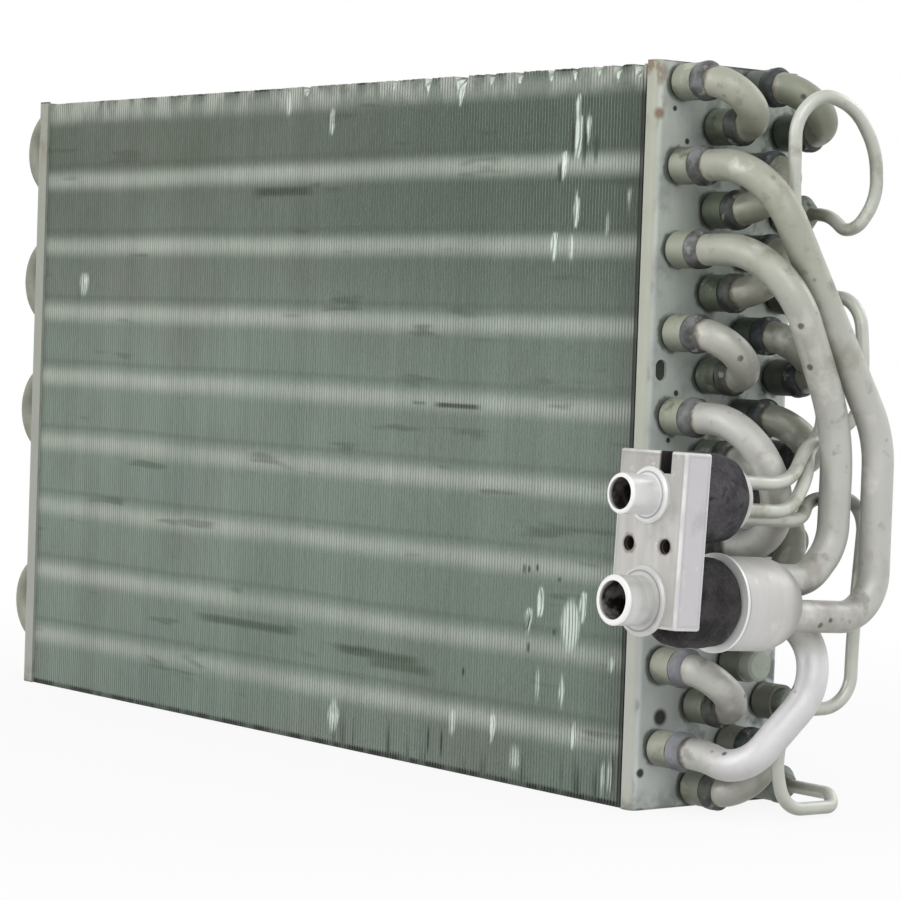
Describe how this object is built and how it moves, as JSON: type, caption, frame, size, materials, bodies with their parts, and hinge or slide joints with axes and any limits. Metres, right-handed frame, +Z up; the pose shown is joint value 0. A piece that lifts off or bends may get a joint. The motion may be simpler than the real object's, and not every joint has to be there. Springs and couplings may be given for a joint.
{
  "type": "evaporator core",
  "caption": "Finned tube coil with folded end plates, return bends, a domed collector, a connection block with ports and thin feed tubes.",
  "frame": {"origin": "under the middle of the finned core, on the plane that the core stands on", "axes": "+X along the tubes towards the connections, +Y from the side of the ports to the back, +Z up"},
  "size_m": [0.4355, 0.1108, 0.225],
  "materials": {
    "fin_foil": "thin coated foil, dull, with dust and bent edges",
    "plate_sheet": "bare rolled sheet, dull",
    "coil_tube": "bare drawn tube, satin",
    "feed_tube": "bare drawn tube, satin",
    "joint_metal": "dark soldered joint, dull",
    "machined_alloy": "machined, satin",
    "foam": "dark soft sealing foam"
  },
  "bodies": {
    "root": {"capillary_lower": "feed_tube", "capillary_middle": "feed_tube", "capillary_sockets": "joint_metal", "capillary_upper": "feed_tube", "connection_block": "machined_alloy", "distributor": "machined_alloy", "end_plate_left": "plate_sheet", "end_plate_right": "plate_sheet", "end_plugs": "joint_metal", "fin_pack": "fin_foil", "foam_disc_lower": "foam", "foam_disc_upper": "foam", "hairpin_a1_a2": "coil_tube", "hairpin_a3_a4": "coil_tube", "hairpin_a5_a6": "coil_tube", "hairpin_a7_b6": "coil_tube", "hairpin_a8_a9": "coil_tube", "hairpin_b1_b2": "coil_tube", "hairpin_b3_c3": "coil_tube", "hairpin_b4_b5": "coil_tube", "hairpin_b7_c7": "coil_tube", "hairpin_b8_b9": "coil_tube", "hairpin_c1_c2": "coil_tube", "hairpin_c4_d3": "coil_tube", "hairpin_c5_c6": "coil_tube", "hairpin_c8_d8": "coil_tube", "hairpin_c9_d9": "coil_tube", "hairpin_d1_d2": "coil_tube", "hairpin_d4_d5": "coil_tube", "hairpin_d6_d7": "coil_tube", "joint_rings": "joint_metal", "port_tube_liquid": "machined_alloy", "port_tube_suction": "machined_alloy", "return_bend_a1_b1": "coil_tube", "return_bend_a4_b4": "coil_tube", "return_bend_a5_b6": "coil_tube", "return_bend_a6_b5": "coil_tube", "return_bend_a7_b7": "coil_tube", "return_bend_a8_b8": "coil_tube", "return_bend_b2_c2": "coil_tube", "return_bend_b3_c3": "coil_tube", "return_bend_b9_c9": "coil_tube", "return_bend_c1_d1": "coil_tube", "return_bend_c4_d4": "coil_tube", "return_bend_c5_d5": "coil_tube", "return_bend_c6_c7": "coil_tube", "suction_collector": "machined_alloy", "suction_pipe_lower": "coil_tube", "suction_pipe_middle": "coil_tube", "suction_pipe_upper": "coil_tube"}
  },
  "joints": []
}
